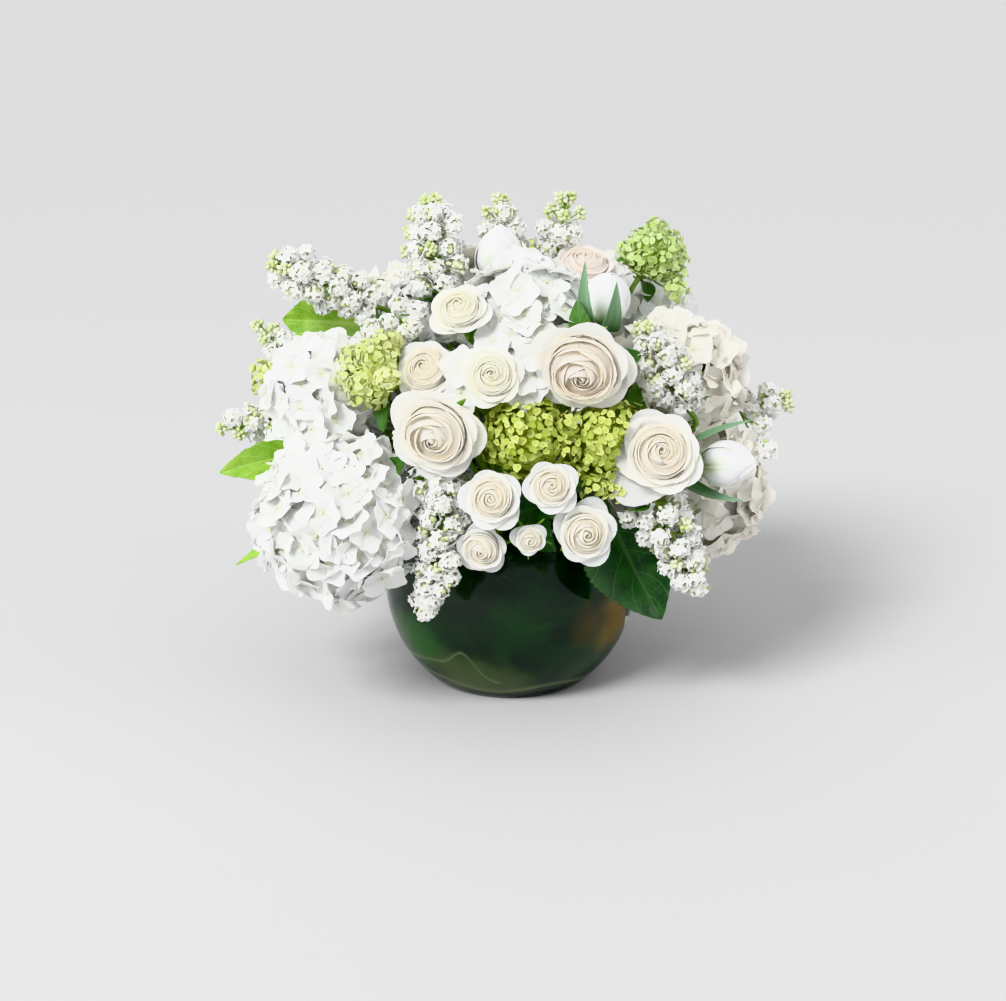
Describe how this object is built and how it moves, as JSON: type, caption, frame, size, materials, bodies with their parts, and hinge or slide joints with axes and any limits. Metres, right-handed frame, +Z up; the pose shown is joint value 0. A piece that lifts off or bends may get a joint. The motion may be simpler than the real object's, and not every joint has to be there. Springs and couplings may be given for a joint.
{
  "type": "floral table centerpiece",
  "caption": "Round dome of white roses, hydrangeas, tulips, lilac and green viburnum in a water-filled clear glass globe bowl lined with leaves.",
  "frame": {"origin": "centre of the flat foot of the glass bowl, on the surface that it stands on", "axes": "+Z up, -Y towards the front of the arrangement, +X to the right of someone facing the front"},
  "size_m": [0.4515, 0.3755, 0.3862],
  "materials": {
    "bowl_glass": "clear, polished",
    "water": "clear",
    "lining_leaf": "waxy, dark green",
    "stems_and_leaves": "smooth, green",
    "hydrangea_florets": "soft, matte white",
    "rose_petals": "velvety cream",
    "spray_rose_petals": "velvety white",
    "tulip_petals": "satin white",
    "viburnum_florets": "matte yellow-green",
    "lilac_florets": "matte white"
  },
  "bodies": {
    "root": {"rose_front_right": "rose_petals", "rose_front_left": "rose_petals", "rose_right": "rose_petals", "rose_top_left": "rose_petals", "rose_left_small": "rose_petals", "rose_middle_small": "rose_petals", "rose_crown": "rose_petals", "rose_back": "rose_petals", "rose_back_high": "rose_petals", "spray_rose_1": "spray_rose_petals", "spray_rose_2": "spray_rose_petals", "spray_rose_3": "spray_rose_petals", "spray_rose_4": "spray_rose_petals", "spray_rose_5": "spray_rose_petals", "tulip_top": "tulip_petals", "tulip_front": "tulip_petals", "tulip_right": "tulip_petals", "tulip_back": "tulip_petals", "viburnum_middle": "viburnum_florets", "viburnum_middle_right": "viburnum_florets", "viburnum_left": "viburnum_florets", "viburnum_far_left": "viburnum_florets", "viburnum_top_right": "viburnum_florets", "viburnum_back": "viburnum_florets", "lilac_left": "lilac_florets", "lilac_top_left": "lilac_florets", "lilac_top": "lilac_florets", "lilac_top_right": "lilac_florets", "lilac_front": "lilac_florets", "lilac_right": "lilac_florets", "lilac_right_low": "lilac_florets", "lilac_far_left": "lilac_florets", "lilac_left_high": "lilac_florets", "lilac_far_right": "lilac_florets", "lilac_back": "lilac_florets", "hydrangea_left": "hydrangea_florets", "hydrangea_left_high": "hydrangea_florets", "hydrangea_top": "hydrangea_florets", "hydrangea_right_high": "hydrangea_florets", "hydrangea_right": "hydrangea_florets", "hydrangea_left_back": "hydrangea_florets", "hydrangea_back_left": "hydrangea_florets", "hydrangea_back_right": "hydrangea_florets", "hydrangea_back_low": "hydrangea_florets", "hydrangea_right_back": "hydrangea_florets", "hydrangea_crown": "hydrangea_florets", "stems_1": "stems_and_leaves", "stems_2": "stems_and_leaves", "stems_3": "stems_and_leaves", "stems_4": "stems_and_leaves", "stems_5": "stems_and_leaves", "stems_6": "stems_and_leaves", "stems_7": "stems_and_leaves", "stems_8": "stems_and_leaves", "bowl": "bowl_glass", "bowl_leaf_front": "lining_leaf", "bowl_leaf_back": "lining_leaf", "water": "water"}
  },
  "joints": []
}
